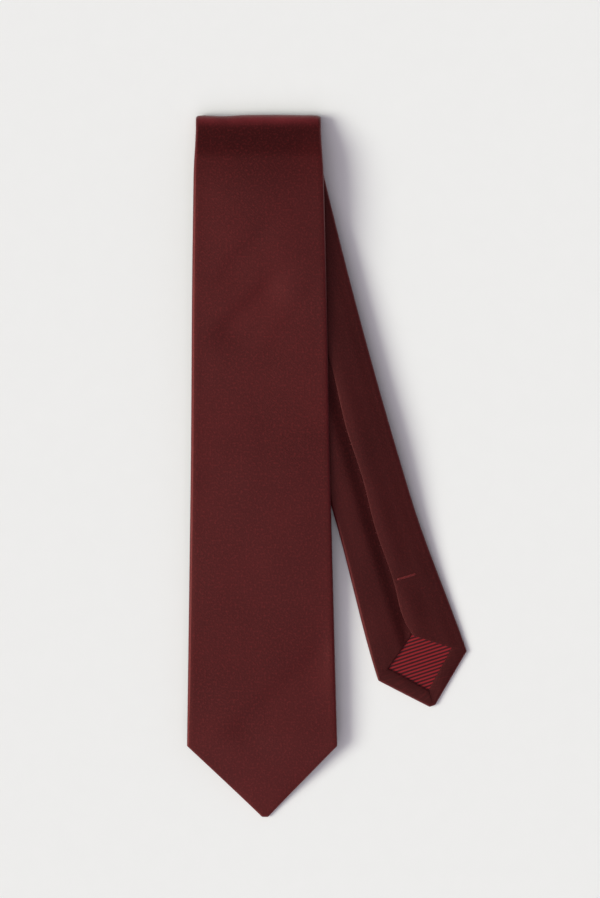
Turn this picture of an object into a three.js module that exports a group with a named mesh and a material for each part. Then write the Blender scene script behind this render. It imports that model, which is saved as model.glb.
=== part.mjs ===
// A satin necktie, folded in four and laid flat. Millimetres, +Z up, origin under the middle of its box.
//
// The tie is one long flat band. From the wide tip it runs up as the blade (face up), turns over the outer fold,
// runs down under everything as the lower run (face down), turns back at the neck fold, runs up as the upper run
// (face up), turns over the inner fold and comes down as the tail (back up), fanned out to the right.
// Across the band, u is positive to the right. Through the band, n goes from 0 on its face to BAND on its back.

import * as THREE from 'three';

// ---- cloth ----
const BAND = 3.2; // thickness of the made-up tie
const CLOTH = 0.45; // satin shell
const LAYER_GAP = 0.2; // between the two flaps of the shell
const JOIN_GAP = 0.3; // between two solids that meet end to end
const EDGE = 1.2; // roundness of the side folds
const INTERLINING = { low: 0.6, high: 1.5, inset: 1.6 }; // n range, and how far it stays inside the edge
const TIPPING = { low: 1.65, high: 1.95, inset: 3 };
const FLAP_EDGE = -1; // u where the right flap ends, on top
const LEFT_FLAP_EDGE = 6; // u where the left flap ends, underneath

// ---- overall layout ----
const TIP_Y = -187.4;
const TOP_Y = 187.4;
const FOLD_HEIGHT = 8; // height of the hinge line of both top folds
const OUTER_FOLD_RADIUS = 8; // to the face, which is outside
const INNER_FOLD_RADIUS = 1; // to the face, which is inside
const NECK_FOLD_RADIUS = 3.5; // to the face, which is outside
const OUTER_FOLD_Y = TOP_Y - OUTER_FOLD_RADIUS; // centre of the outer fold's arc
const NECK_FOLD_Y = -136.5; // centre of the neck fold's arc
const BLADE_TOP_X = -36.3; // middle of the band at the outer fold
const BLADE_TIP_X = -34;
const NECK_FOLD_X = -39; // middle of the band at the neck fold
const INNER_FOLD = { x: -24.9, y: 163 }; // middle of the inner fold's arc

// ---- half widths ----
const BLADE_HALF = 40; // at the shoulders
const BLADE_TOP_HALF = 33.3; // at the outer fold
const NECK_FOLD_HALF = 21;
const INNER_FOLD_HALF = 19.8;
const TAIL_HALF = 25; // at the shoulders
const TIP_HALF = 1.6; // the points end a little blunt

// ---- blade and tail ends, heights above their tip; lean is how far right of the middle the tip lies ----
const BLADE_END = { shoulder: 38, hem: 13.8, hemSlope: 0.95, flapTop: 69.7, flapSlope: 0.792, lean: 1.3 };
const TAIL_END = { shoulder: 21.9, hem: 10.8, hemSlope: 0.876, flapTop: 41.7, flapSlope: 0.83, lean: -1.8 };

// ---- tail, seen from above ----
const TAIL_LENGTH = 302.2; // from the inner fold to the tip
const TAIL_HEADING = 12.7; // degrees to the right of straight down, where it leaves the fold
const TAIL_BEND = 6.1; // degrees it turns further right by its tip
const FAN_PIVOT = 36; // distance along the tail
const FAN_RADIUS = 30; // of the arc that the tail turns on
const FAN_GAP = 0.45; // between the two sides of that arc

// ---- small pieces ----
const KEEPER = { height: 194, width: 12, half: 24, foot: 4, rise: 1.1, cloth: 0.8 };
const LABEL = { height: 212, width: 14, half: 15, cloth: 0.3 };
const TACK = { length: 10, width: 0.8, thread: 0.4, blade: 128, tail: 70 };
const THREAD = 0.3;
const SEWN_GAP = 0.25; // between the back of the band and what is sewn on it

const radians = THREE.MathUtils.degToRad;
const { lerp, smoothstep } = THREE.MathUtils;
const OVERLAP_LEVEL = BAND - CLOTH - LAYER_GAP; // n of the left flap's outside

// ---------------------------------------------------------------- where the band runs

const neckHeading = Math.atan2(INNER_FOLD.x - NECK_FOLD_X, INNER_FOLD.y - NECK_FOLD_Y);
const tailHeading = radians(TAIL_HEADING);
const creaseAngle = (tailHeading - neckHeading) / 2; // the inner crease rises to the right
const creaseSkew = (tailHeading + neckHeading) / 2; // between the crease and the band's own crosswise line
const creaseRight = new THREE.Vector2(Math.cos(creaseAngle), Math.sin(creaseAngle));
const creaseUp = new THREE.Vector2(-creaseRight.y, creaseRight.x);
const creaseDrift = Math.PI * (INNER_FOLD_RADIUS + BAND / 2) * Math.tan(creaseSkew);

/** Middle of the blade at y. */
function bladeX(y) {
  return lerp(BLADE_TIP_X, BLADE_TOP_X, (y - TIP_Y) / (TOP_Y - TIP_Y));
}

/** Height of the blade's back: high at the fold, down onto the runs, then onto the table at the tip. */
function bladeBack(y) {
  const fold = 2 * OUTER_FOLD_RADIUS - BAND;
  const overTail = 10.9;
  const onRuns = 7.4;
  const onTable = 0.3;
  const tailLeavesRuns = 15;
  if (y > tailLeavesRuns) {
    return lerp(overTail, fold, (y - tailLeavesRuns) / (OUTER_FOLD_Y - tailLeavesRuns));
  }
  const ontoRuns = lerp(onRuns, overTail, smoothstep(y, -100, tailLeavesRuns));
  return lerp(onTable, ontoRuns, smoothstep(y, TIP_Y - 1, NECK_FOLD_Y - 4));
}

/** How far a point h above a tip is drawn sideways by the tip's lean. */
function leanAt(h, end) {
  return end.lean * Math.max(0, 1 - h / end.shoulder);
}

/** Blade, with h the distance above its tip. */
function bladePoint(h, u, n) {
  const y = TIP_Y + h;
  return new THREE.Vector3(bladeX(y) + leanAt(h, BLADE_END) + u, y, bladeBack(y) + BAND - n);
}

/** Outer fold, with angle 0 at the blade and 180 at the lower run. */
function outerFoldPoint(angle, u, n) {
  const a = radians(angle);
  const r = OUTER_FOLD_RADIUS - n;
  return new THREE.Vector3(BLADE_TOP_X + u, OUTER_FOLD_Y + r * Math.sin(a), FOLD_HEIGHT + r * Math.cos(a));
}

/** Lower run, with s the distance below the outer fold. */
function lowerRunPoint(s, u, n) {
  const share = s / (OUTER_FOLD_Y - NECK_FOLD_Y);
  return new THREE.Vector3(lerp(BLADE_TOP_X, NECK_FOLD_X, share) + u, OUTER_FOLD_Y - s, n);
}

/** Neck fold, with angle 0 at the lower run and 180 at the upper run. */
function neckFoldPoint(angle, u, n) {
  const a = radians(angle);
  const r = NECK_FOLD_RADIUS - n;
  return new THREE.Vector3(NECK_FOLD_X + u, NECK_FOLD_Y - r * Math.sin(a), NECK_FOLD_RADIUS - r * Math.cos(a));
}

const upperRunLength = Math.hypot(INNER_FOLD.x - NECK_FOLD_X, INNER_FOLD.y - NECK_FOLD_Y);

/** Upper run, with s the distance above the neck fold. */
function upperRunPoint(s, u, n) {
  const x = NECK_FOLD_X + s * Math.sin(neckHeading) + u * Math.cos(neckHeading);
  const y = NECK_FOLD_Y + s * Math.cos(neckHeading) - u * Math.sin(neckHeading);
  return new THREE.Vector3(x, y, 2 * NECK_FOLD_RADIUS - n);
}

/** Inner fold, with angle 0 at the upper run and 180 at the tail. Its axis is the skewed crease. */
function innerFoldPoint(angle, u, n) {
  const a = radians(angle);
  const r = INNER_FOLD_RADIUS + n;
  const along = u / Math.cos(creaseSkew) + (creaseDrift * angle) / 180;
  const out = r * Math.sin(a);
  const x = INNER_FOLD.x + along * creaseRight.x + out * creaseUp.x;
  const y = INNER_FOLD.y + along * creaseRight.y + out * creaseUp.y;
  return new THREE.Vector3(x, y, FOLD_HEIGHT - r * Math.cos(a));
}

const tailStart = new THREE.Vector2(INNER_FOLD.x, INNER_FOLD.y).addScaledVector(creaseRight, creaseDrift);

/** Height of the tail's face: down onto the upper run, over its edge and onto the table. */
function tailFace(d) {
  const fold = FOLD_HEIGHT + INNER_FOLD_RADIUS;
  const onRuns = 7.4;
  const ontoRuns = lerp(fold, onRuns, smoothstep(d, 5, 60));
  return lerp(ontoRuns, 0, smoothstep(d, 150, 262));
}

/** Tail, with d the distance from the inner fold. Its middle is an arc that bends slowly right. */
function tailPoint(d, u, n) {
  const turn = radians(TAIL_BEND) / TAIL_LENGTH;
  const heading = tailHeading + turn * d;
  const across = u + leanAt(TAIL_LENGTH - d, TAIL_END);
  const x = tailStart.x + (Math.cos(tailHeading) - Math.cos(heading)) / turn + across * Math.cos(heading);
  const y = tailStart.y - (Math.sin(heading) - Math.sin(tailHeading)) / turn + across * Math.sin(heading);
  return new THREE.Vector3(x, y, tailFace(d) + n);
}

// ---------------------------------------------------------------- how wide it is

function pointHalf(height, shoulder, half) {
  return lerp(TIP_HALF, half, Math.min(1, height / shoulder));
}

function bladeHalf(h) {
  if (h < BLADE_END.shoulder) {
    return pointHalf(h, BLADE_END.shoulder, BLADE_HALF);
  }
  return lerp(BLADE_HALF, BLADE_TOP_HALF, (h - BLADE_END.shoulder) / (OUTER_FOLD_Y - TIP_Y - BLADE_END.shoulder));
}

function tailHalf(d) {
  const h = TAIL_LENGTH - d;
  if (h < TAIL_END.shoulder) {
    return pointHalf(h, TAIL_END.shoulder, TAIL_HALF);
  }
  const taper = lerp(2, 0, h / TAIL_LENGTH);
  const flare = 3.2 * (1 - smoothstep(h, TAIL_END.shoulder, 110));
  return INNER_FOLD_HALF + taper + flare;
}

function lowerRunHalf(s) {
  return lerp(BLADE_TOP_HALF, NECK_FOLD_HALF, s / (OUTER_FOLD_Y - NECK_FOLD_Y));
}

function upperRunHalf(s) {
  return lerp(NECK_FOLD_HALF, INNER_FOLD_HALF, s / upperRunLength);
}

/** How far from the middle the flaps end, h above a tip: the window over the tipping, closed above and below it. */
function windowHalf(h, end) {
  const hemLine = (h - end.hem) / end.hemSlope;
  const flapLine = (end.flapTop - h) / end.flapSlope;
  return Math.max(JOIN_GAP / 2, Math.min(hemLine, flapLine));
}

// ---------------------------------------------------------------- cross-sections, as [u, n] outlines

/** A flat stretch of outline from one u to another, in equal steps. */
function stretch(from, to, n, steps) {
  return Array.from({ length: steps + 1 }, (_, i) => [lerp(from, to, i / steps), n]);
}

/** The folded shell: right flap on top, round the right edge, the face, round the left edge, left flap. */
function shellSection(half, rightFlap, leftFlap, steps) {
  const edge = Math.min(EDGE, half / 2);
  const bulge = edge * 0.3;
  const inner = edge + 0.1;
  return [
    ...stretch(rightFlap, half - edge, BAND, steps),
    [half - bulge, BAND - bulge],
    [half, BAND / 2],
    [half - bulge, bulge],
    ...stretch(half - edge, edge - half, 0, steps),
    [bulge - half, bulge],
    [-half, BAND / 2],
    ...stretch(edge - half, leftFlap, OVERLAP_LEVEL, steps),
    ...stretch(leftFlap, inner - half, OVERLAP_LEVEL - CLOTH, steps),
    [CLOTH - half, BAND / 2],
    ...stretch(inner - half, half - inner, CLOTH, steps),
    [half - CLOTH, BAND / 2],
    ...stretch(half - inner, rightFlap, BAND - CLOTH, steps),
  ];
}

function slabSection(left, right, low, high, steps = 1) {
  return [...stretch(left, right, high, steps), ...stretch(right, left, low, steps)];
}

// ---------------------------------------------------------------- solids

function signedVolume(points, faces) {
  const cross = new THREE.Vector3();
  let volume = 0;
  for (let i = 0; i < faces.length; i += 3) {
    cross.crossVectors(points[faces[i + 1]], points[faces[i + 2]]);
    volume += points[faces[i]].dot(cross) / 6;
  }
  return volume;
}

/** Triangles that fill a long thin outline, which goes out along one side and comes back along the other. */
function capTriangles(section) {
  const distance = (a, b) => Math.hypot(section[a][0] - section[b][0], section[a][1] - section[b][1]);
  const triangles = [];
  let near = 0;
  let far = section.length - 1;
  while (near + 1 < far) {
    if (distance(near + 1, far) <= distance(near, far - 1)) {
      triangles.push(near, near + 1, far);
      near += 1;
    } else {
      triangles.push(near, far - 1, far);
      far -= 1;
    }
  }
  return triangles;
}

/** A closed solid through stations: each is { section, place }, an outline and the rule that places its points. */
function bandSolid(stations) {
  const size = stations[0].section.length;
  const points = stations.flatMap(({ section, place }) => section.map(([u, n]) => place(u, n)));
  const lastRing = points.length - size;
  const faces = capTriangles(stations[0].section).reverse();
  for (let i = 0; i + 1 < stations.length; i += 1) {
    for (let j = 0; j < size; j += 1) {
      const a = i * size + j;
      const b = i * size + ((j + 1) % size);
      faces.push(a, b, b + size, a, b + size, a + size);
    }
  }
  faces.push(...capTriangles(stations[stations.length - 1].section).map((index) => lastRing + index));
  if (signedVolume(points, faces) < 0) {
    faces.reverse();
  }
  const geometry = new THREE.BufferGeometry();
  geometry.setAttribute('position', new THREE.Float32BufferAttribute(points.flatMap((p) => p.toArray()), 3));
  geometry.setIndex(faces);
  geometry.computeVertexNormals();
  return geometry;
}

/** Equal steps from one value to another, ends included. */
function steps(from, to, count) {
  return Array.from({ length: count + 1 }, (_, i) => lerp(from, to, i / count));
}

// ---------------------------------------------------------------- looks and the group

const SATIN = { color: 0x5a2628, roughness: 0.42, metalness: 0 };
const WOOL = { color: 0xd8d2c4, roughness: 0.95, metalness: 0 };
const STRIPED = { color: 0x8a2b30, roughness: 0.4, metalness: 0 };
const COTTON = { color: 0xe9e6df, roughness: 0.9, metalness: 0 };
const SILK_THREAD = { color: 0x8c3438, roughness: 0.5, metalness: 0 };

const group = new THREE.Group();

function add(name, geometry, look) {
  const mesh = new THREE.Mesh(geometry, new THREE.MeshStandardMaterial(look));
  mesh.name = name;
  group.add(mesh);
}

// ---------------------------------------------------------------- stretches of the band

/** One row of a stretch for each kind of layer, given how wide the band is there. */
function shellRow(half, place, flaps = {}, across = 1) {
  const { right = FLAP_EDGE, left = LEFT_FLAP_EDGE } = flaps;
  return { section: shellSection(half, right, left, across), place };
}

function interliningRow(half, place, across = 1) {
  const inside = Math.max(0.4, half - INTERLINING.inset);
  return { section: slabSection(-inside, inside, INTERLINING.low, INTERLINING.high, across), place };
}

/** A thread that lies in the step beside the right flap's edge, as wide as the band may be. */
function threadRow(half, place) {
  const low = OVERLAP_LEVEL + JOIN_GAP / 6;
  return { section: slabSection(FLAP_EDGE - 0.05 - THREAD, FLAP_EDGE - 0.05, low, low + THREAD), place };
}

/** Flap ends near a tip: the usual overlap far from it, and the window over the tipping close to it. */
function flapsNear(h, end) {
  if (h >= end.flapTop + 2) {
    return {};
  }
  const open = windowHalf(h, end);
  return { right: open, left: -open };
}

const FOLD_CUT = 1.2; // degrees left out on each side of a fold's middle, where the hinge opens
const lowerHalfTurn = steps(90 + FOLD_CUT, 180, 6);
const upperHalfTurn = steps(0, 90 - FOLD_CUT, 6);

// ---- blade ----
const bladeTopHeight = OUTER_FOLD_Y - TIP_Y - JOIN_GAP;
const bladeEnd = [0, 5, BLADE_END.hem, 20, 28, BLADE_END.shoulder, 44.3, 57, BLADE_END.flapTop, BLADE_END.flapTop + 2];
const bladeHeights = [...bladeEnd, ...steps(100, bladeTopHeight, 9)];
const bladeAt = (h) => (u, n) => bladePoint(h, u, n);
const within = (list, low, high) => list.filter((value) => value >= low && value <= high);
add(
  'blade_shell',
  bandSolid(
    bladeHeights.map((h) => shellRow(bladeHalf(h), bladeAt(h), flapsNear(h, BLADE_END))),
  ),
  SATIN,
);
add(
  'blade_interlining',
  bandSolid(bladeHeights.slice(1).map((h) => interliningRow(bladeHalf(h), bladeAt(h)))),
  WOOL,
);

/** The lining of a blade's end, between the interlining and the flaps. */
function tippingSolid(heights, halfAt, placeAt) {
  return bandSolid(
    heights.map((h) => {
      const inside = Math.max(0.5, halfAt(h) - TIPPING.inset);
      return { section: slabSection(-inside, inside, TIPPING.low, TIPPING.high), place: placeAt(h) };
    }),
  );
}
add('blade_tipping', tippingSolid(within(bladeHeights, 5, 100), bladeHalf, bladeAt), STRIPED);

/** A bar tack across the seam: a short bar of thread on top of the right flap. */
function tackSolid(h, placeAt) {
  const low = BAND + SEWN_GAP;
  const section = slabSection(FLAP_EDGE + 0.3, FLAP_EDGE + 0.3 + TACK.length, low, low + TACK.thread);
  return bandSolid([h - TACK.width / 2, h + TACK.width / 2].map((at) => ({ section, place: placeAt(at) })));
}
add('blade_bar_tack', tackSolid(TACK.blade, bladeAt), SILK_THREAD);
add(
  'blade_slip_stitch',
  bandSolid(within(bladeHeights, TACK.blade, bladeTopHeight).map((h) => threadRow(bladeHalf(h), bladeAt(h)))),
  SILK_THREAD,
);

// ---- keeper loop and label, on the blade's back ----
function keeperSection() {
  const { half, foot, rise, cloth } = KEEPER;
  const low = BAND + SEWN_GAP;
  return [
    [-half, low],
    [-half, low + cloth],
    [foot - half, low + cloth],
    [foot + 3 - half, low + rise + cloth],
    [half - foot - 3, low + rise + cloth],
    [half - foot, low + cloth],
    [half, low + cloth],
    [half, low],
    [half - foot, low],
    [half - foot - 3, low + rise],
    [foot + 3 - half, low + rise],
    [foot - half, low],
  ];
}
add(
  'keeper_loop',
  bandSolid(
    [KEEPER.height, KEEPER.height + KEEPER.width].map((h) => ({ section: keeperSection(), place: bladeAt(h) })),
  ),
  SATIN,
);
for (const [side, middle] of [['left', KEEPER.foot / 2 - KEEPER.half], ['right', KEEPER.half - KEEPER.foot / 2]]) {
  const low = BAND + SEWN_GAP + KEEPER.cloth + 0.05;
  const section = slabSection(middle - 0.4, middle + 0.4, low, low + TACK.thread);
  add(
    `keeper_tack_${side}`,
    bandSolid(
      [KEEPER.height + 1, KEEPER.height + KEEPER.width - 1].map((h) => ({ section, place: bladeAt(h) })),
    ),
    SILK_THREAD,
  );
}
add(
  'fibre_label',
  bandSolid(
    [LABEL.height, LABEL.height + LABEL.width].map((h) => ({
      section: slabSection(-LABEL.half, LABEL.half, BAND + SEWN_GAP, BAND + SEWN_GAP + LABEL.cloth),
      place: bladeAt(h),
    })),
  ),
  COTTON,
);

// ---- outer fold, cut at the hinge ----
for (const [name, angles] of [['upper', upperHalfTurn], ['lower', lowerHalfTurn]]) {
  const rows = angles.map((angle) => (u, n) => outerFoldPoint(angle, u, n));
  add(`outer_fold_shell_${name}`, bandSolid(rows.map((place) => shellRow(BLADE_TOP_HALF, place))), SATIN);
  add(`outer_fold_interlining_${name}`, bandSolid(rows.map((place) => interliningRow(BLADE_TOP_HALF, place))), WOOL);
}

// ---- lower run, neck fold and upper run ----
const lowerRunLength = OUTER_FOLD_Y - NECK_FOLD_Y;
const PIECING = { lower: 190, upper: 150 }; // where the diagonal seams cross the middle of the runs

/** Rows of a run between two distances, with a diagonal cut at either end. */
function runRows(rowAt, halfAt, placeAt, distances, { firstCut = 0, lastCut = 0 } = {}) {
  const last = distances.length - 1;
  return distances.map((s, i) => {
    const cut = (i === 0 ? firstCut : 0) + (i === last ? lastCut : 0);
    const place = (u, n) => {
      const at = s + cut * u;
      return placeAt(at, (u * halfAt(at)) / halfAt(s), n);
    };
    return rowAt(halfAt(s), place);
  });
}
const skew = Math.tan(creaseSkew);
const neckTurn = steps(0, 180, 10).slice(1, -1);

function neckRows(rowAt, lowerFrom, lowerCut, upperTo, upperCut) {
  return [
    ...runRows(rowAt, lowerRunHalf, lowerRunPoint, steps(lowerFrom, lowerRunLength, 3), { firstCut: lowerCut }),
    ...neckTurn.map((angle) => rowAt(NECK_FOLD_HALF, (u, n) => neckFoldPoint(angle, u, n))),
    ...runRows(rowAt, upperRunHalf, upperRunPoint, steps(0, upperTo, 3), { lastCut: upperCut }),
  ];
}
add(
  'blade_shell_lower_run',
  bandSolid(
    runRows(shellRow, lowerRunHalf, lowerRunPoint, steps(JOIN_GAP, PIECING.lower - JOIN_GAP, 3), { lastCut: 1 }),
  ),
  SATIN,
);
add('neck_shell', bandSolid(neckRows(shellRow, PIECING.lower, 1, PIECING.upper, 1)), SATIN);
add(
  'tail_shell_upper_run',
  bandSolid(
    runRows(shellRow, upperRunHalf, upperRunPoint, steps(PIECING.upper + 2 * JOIN_GAP, upperRunLength - JOIN_GAP, 3), {
      firstCut: 1,
      lastCut: skew,
    }),
  ),
  SATIN,
);
add(
  'neck_interlining',
  bandSolid(neckRows(interliningRow, JOIN_GAP, 0, upperRunLength - JOIN_GAP, skew)),
  WOOL,
);
add(
  'lower_run_slip_stitch',
  bandSolid(runRows(threadRow, lowerRunHalf, lowerRunPoint, steps(JOIN_GAP, lowerRunLength - 4, 2))),
  SILK_THREAD,
);
add(
  'upper_run_slip_stitch',
  bandSolid(runRows(threadRow, upperRunHalf, upperRunPoint, steps(4, upperRunLength - 4, 2))),
  SILK_THREAD,
);

// ---- inner fold, cut at the hinge ----
const innerLowerTurn = steps(0, 90 - FOLD_CUT, 5);
const innerUpperTurn = steps(90 + FOLD_CUT, 180, 5);
for (const [name, angles] of [['lower', innerLowerTurn], ['upper', innerUpperTurn]]) {
  const rows = angles.map((angle) => (u, n) => innerFoldPoint(angle, u, n));
  add(`inner_fold_shell_${name}`, bandSolid(rows.map((place) => shellRow(INNER_FOLD_HALF, place))), SATIN);
  add(`inner_fold_interlining_${name}`, bandSolid(rows.map((place) => interliningRow(INNER_FOLD_HALF, place))), WOOL);
}

// ---- head of the tail, from the inner fold to the arc that the tail turns on ----
const FAN_STEPS = 8; // flat stretches of the section are cut so that they can follow the arc
const fanArc = (u, radius) => FAN_PIVOT - Math.sqrt(radius ** 2 - u ** 2);
const headSkew = (u) => JOIN_GAP + skew * u;
const headRadius = FAN_RADIUS + FAN_GAP;

function headRows(rowOf) {
  const start = (u, n) => tailPoint(headSkew(u), u, n);
  const end = (u, n) => tailPoint(fanArc(u, headRadius), u, n);
  return [rowOf(tailHalf(0), start), rowOf(tailHalf(fanArc(0, headRadius)), end)];
}
const fanShellRow = (half, place, flaps) => shellRow(half, place, flaps, FAN_STEPS);
const fanInterliningRow = (half, place) => interliningRow(half, place, FAN_STEPS);
add('tail_head_shell', bandSolid(headRows(fanShellRow)), SATIN);
add('tail_head_interlining', bandSolid(headRows(fanInterliningRow)), WOOL);

// ---- tail ----
const tailEnd = [TAIL_END.flapTop + 2, TAIL_END.flapTop, 34, 27, TAIL_END.shoulder, 16, TAIL_END.hem, 5, 0];
const tailDistances = [...steps(22, TAIL_LENGTH - 60, 12), ...tailEnd.map((h) => TAIL_LENGTH - h)];

function tailRows(rowOf, distances) {
  const start = (u, n) => tailPoint(fanArc(u, FAN_RADIUS), u, n);
  return [
    rowOf(tailHalf(fanArc(0, FAN_RADIUS)), start, {}),
    ...distances.map((d) => rowOf(tailHalf(d), (u, n) => tailPoint(d, u, n), flapsNear(TAIL_LENGTH - d, TAIL_END))),
  ];
}
const tailAt = (d) => (u, n) => tailPoint(d, u, n);
add('tail_shell', bandSolid(tailRows(fanShellRow, tailDistances)), SATIN);
add('tail_interlining', bandSolid(tailRows(fanInterliningRow, tailDistances.slice(0, -1))), WOOL);
add('tail_tipping', tippingSolid(within(tailDistances, TAIL_LENGTH - 60, TAIL_LENGTH - 5), tailHalf, tailAt), STRIPED);
add('tail_bar_tack', tackSolid(TAIL_LENGTH - TACK.tail, tailAt), SILK_THREAD);
add(
  'tail_slip_stitch',
  bandSolid(within(tailDistances, 24, TAIL_LENGTH - TACK.tail).map((d) => threadRow(tailHalf(d), tailAt(d)))),
  SILK_THREAD,
);

export default group;
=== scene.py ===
"""A burgundy satin necktie, folded in four and laid flat.

Cloth is worked out in band coordinates, in millimetres: s along the made-up tie, u across it (right is
positive), and n through it, from 0 on its face to about 3 on its back. w is the distance across the flat
cloth.
"""
from math import atan2, cos, hypot, pi, radians, sin, sqrt, tan

import bmesh
import bpy
import numpy as np
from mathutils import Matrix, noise


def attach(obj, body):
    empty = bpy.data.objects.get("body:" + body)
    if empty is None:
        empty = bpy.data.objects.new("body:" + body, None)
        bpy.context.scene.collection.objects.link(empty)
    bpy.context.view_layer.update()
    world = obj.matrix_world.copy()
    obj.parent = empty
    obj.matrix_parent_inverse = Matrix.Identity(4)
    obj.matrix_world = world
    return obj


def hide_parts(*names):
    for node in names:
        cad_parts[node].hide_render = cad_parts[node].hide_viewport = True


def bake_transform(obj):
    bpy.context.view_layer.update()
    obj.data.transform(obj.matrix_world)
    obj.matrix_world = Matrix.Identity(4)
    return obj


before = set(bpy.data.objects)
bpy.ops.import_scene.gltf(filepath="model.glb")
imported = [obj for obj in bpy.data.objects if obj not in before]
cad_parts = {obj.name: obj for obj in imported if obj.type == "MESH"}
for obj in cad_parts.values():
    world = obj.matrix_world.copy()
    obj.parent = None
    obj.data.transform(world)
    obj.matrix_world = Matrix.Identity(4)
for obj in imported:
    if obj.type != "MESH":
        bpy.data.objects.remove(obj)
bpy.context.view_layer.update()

MM = 0.001

# The tie's shape, the same numbers as the CAD part
BAND = 3.2
TIP_Y = -187.4
TOP_Y = 187.4
OUTER_FOLD_Y = 179.4
FOLD_HEIGHT = 8
INNER_FOLD_RADIUS = 1
NECK_FOLD_RADIUS = 3.5
NECK_FOLD_Y = -136.5
BLADE_TOP_X = -36.3
BLADE_TIP_X = -34
NECK_FOLD_X = -39
INNER_FOLD_X = -24.9
INNER_FOLD_Y = 163
BLADE_HALF = 40
BLADE_TOP_HALF = 33.3
NECK_FOLD_HALF = 21
INNER_FOLD_HALF = 19.8
TIP_HALF = 1.6
BLADE_LENGTH = 366.8
TAIL_LENGTH = 302.2
TAIL_HEADING = radians(12.7)
TAIL_TURN = radians(6.1) / TAIL_LENGTH
FAN_START = 6
FAN_END = 66
LOWER_SEAM = 190
UPPER_SEAM = 150
RUN_LENGTH = TOP_Y - NECK_FOLD_Y
UPPER_RUN_START = RUN_LENGTH + pi * NECK_FOLD_RADIUS
BLADE_END = {"shoulder": 38, "hem": 13.8, "slope": 0.95, "flaps": 69.7, "lean": 1.3, "hem_half": 33.5}
TAIL_END = {"shoulder": 21.9, "hem": 8.2, "slope": 1.0, "flaps": 39.6, "lean": -1.8, "hem_half": 20.2}

# How the cloth is made up
CLOTH = 0.35
EDGE_RADIUS = 1.6
TIP_RADIUS = 1.15
BACK = 2 * EDGE_RADIUS
BLADE_BACK = BACK + 0.32
RIGHT_FLAP_EDGE = -1
LEFT_FLAP_EDGE = 6
FLAP_SINK = 1.0
FLAP_LOWEST = 1.9
TURNED_RADIUS = 0.42
TURNED_DEPTH = 4.0
FACE_COLUMNS = 36
FLAP_COLUMNS = 16
EDGE_TURN = np.linspace(0, pi, 11)
HEM_TURN = np.linspace(0, pi, 7)

# The layers inside: how far they are from the face, how thick, and how far from the side edges
WOOL_LEVEL = 0.75
WOOL_THICKNESS = 0.8
POINT_WOOL_THICKNESS = 0.45
WOOL_MARGIN = 2.2
TIPPING_THICKNESS = 0.25
TIPPING_MARGIN = 3.2
BLADE_TIPPING_LEVEL = 1.5
TAIL_TIPPING_LEVEL = 1.15

# Threads, loop and label
TACK_THREAD_RADIUS = 0.16
LOOP_THREAD_RADIUS = 0.15
STITCH_THREAD_RADIUS = 0.09
HEM_THREAD_RADIUS = 0.1
TAIL_TACK = 70
BLADE_TACK = 128
LOOP_PLACE = 200
LOOP_WIDTH = 12
LOOP_REACH = 24
LOOP_THICKNESS = 0.8
LABEL_START, LABEL_END = 212, 226
LABEL_HALF = 15

# Creases in the blade's face: ends as (s, u), widths to the left and right of the line, height
CREASES = [
    ((262, -15), (278, 2), (5, 15), -1.05),
    ((294, -14), (306, -2), (3.5, 9), -0.5),
    ((255, 10), (280, 28), (4, 12), -0.3),
    ((50, -8), (89, 34), (6, 20), -0.8),
]

# The soft outer fold, in the visual model
CREST_Y = 186.4
CREST_SLOPE = radians(24)
SHOULDER_SLOPE = radians(5.5)
FOLD_TOP = 18.2
FOLD_REACH = 52

# The camera and the table, in metres but for the camera's centre, and the room's light
VIEW_CENTRE_X, VIEW_CENTRE_Y = -14.1, 8.8
CAMERA_HEIGHT = 3.01
VIEW_HEIGHT = 0.4774
TABLE_REACH = 6.0
TABLE_DROP = 0.0003
ROOM_COLOUR = (1.0, 0.92, 1.08, 1)
ROOM_STRENGTH = 0.17

# The satin's dark, middle and light tones, in sRGB
SATIN_TONES = ((36, 7, 8), (54, 12, 13), (84, 23, 24))


def smooth(x, low, high):
    t = np.clip((x - low) / (high - low), 0, 1)
    return t * t * (3 - 2 * t)


def lerp(a, b, t):
    return a + (b - a) * t


def bump(x, middle, width):
    return np.exp(-(((x - middle) / width) ** 2))


def always(value):
    """The same value all over the band."""
    return lambda s, u=0, side=0: value + 0 * u * s


def uneven(level, height, size, seed):
    """A surface near level that swells by up to height, on either side of the band."""
    return lambda s, u, side=0: level + height * drift(s, u, size, seed)


# ======== where the band runs


def blade_x(y):
    return lerp(BLADE_TIP_X, BLADE_TOP_X, (y - TIP_Y) / (TOP_Y - TIP_Y))


def blade_back(y):
    """Height of the blade's back: high at the fold, down onto the runs, then onto the table at the tip."""
    flat_top = TOP_Y - FOLD_REACH
    over_tail = lerp(10.9, FOLD_TOP - BAND, smooth(y, 15, flat_top))
    onto_runs = lerp(7.4, 10.9, smooth(y, -100, 15))
    return np.where(y > 15, over_tail, lerp(0.3, onto_runs, smooth(y, TIP_Y - 1, NECK_FOLD_Y - 4)))


def lean(s, end):
    return end["lean"] * np.maximum(0, 1 - s / end["shoulder"])


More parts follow.
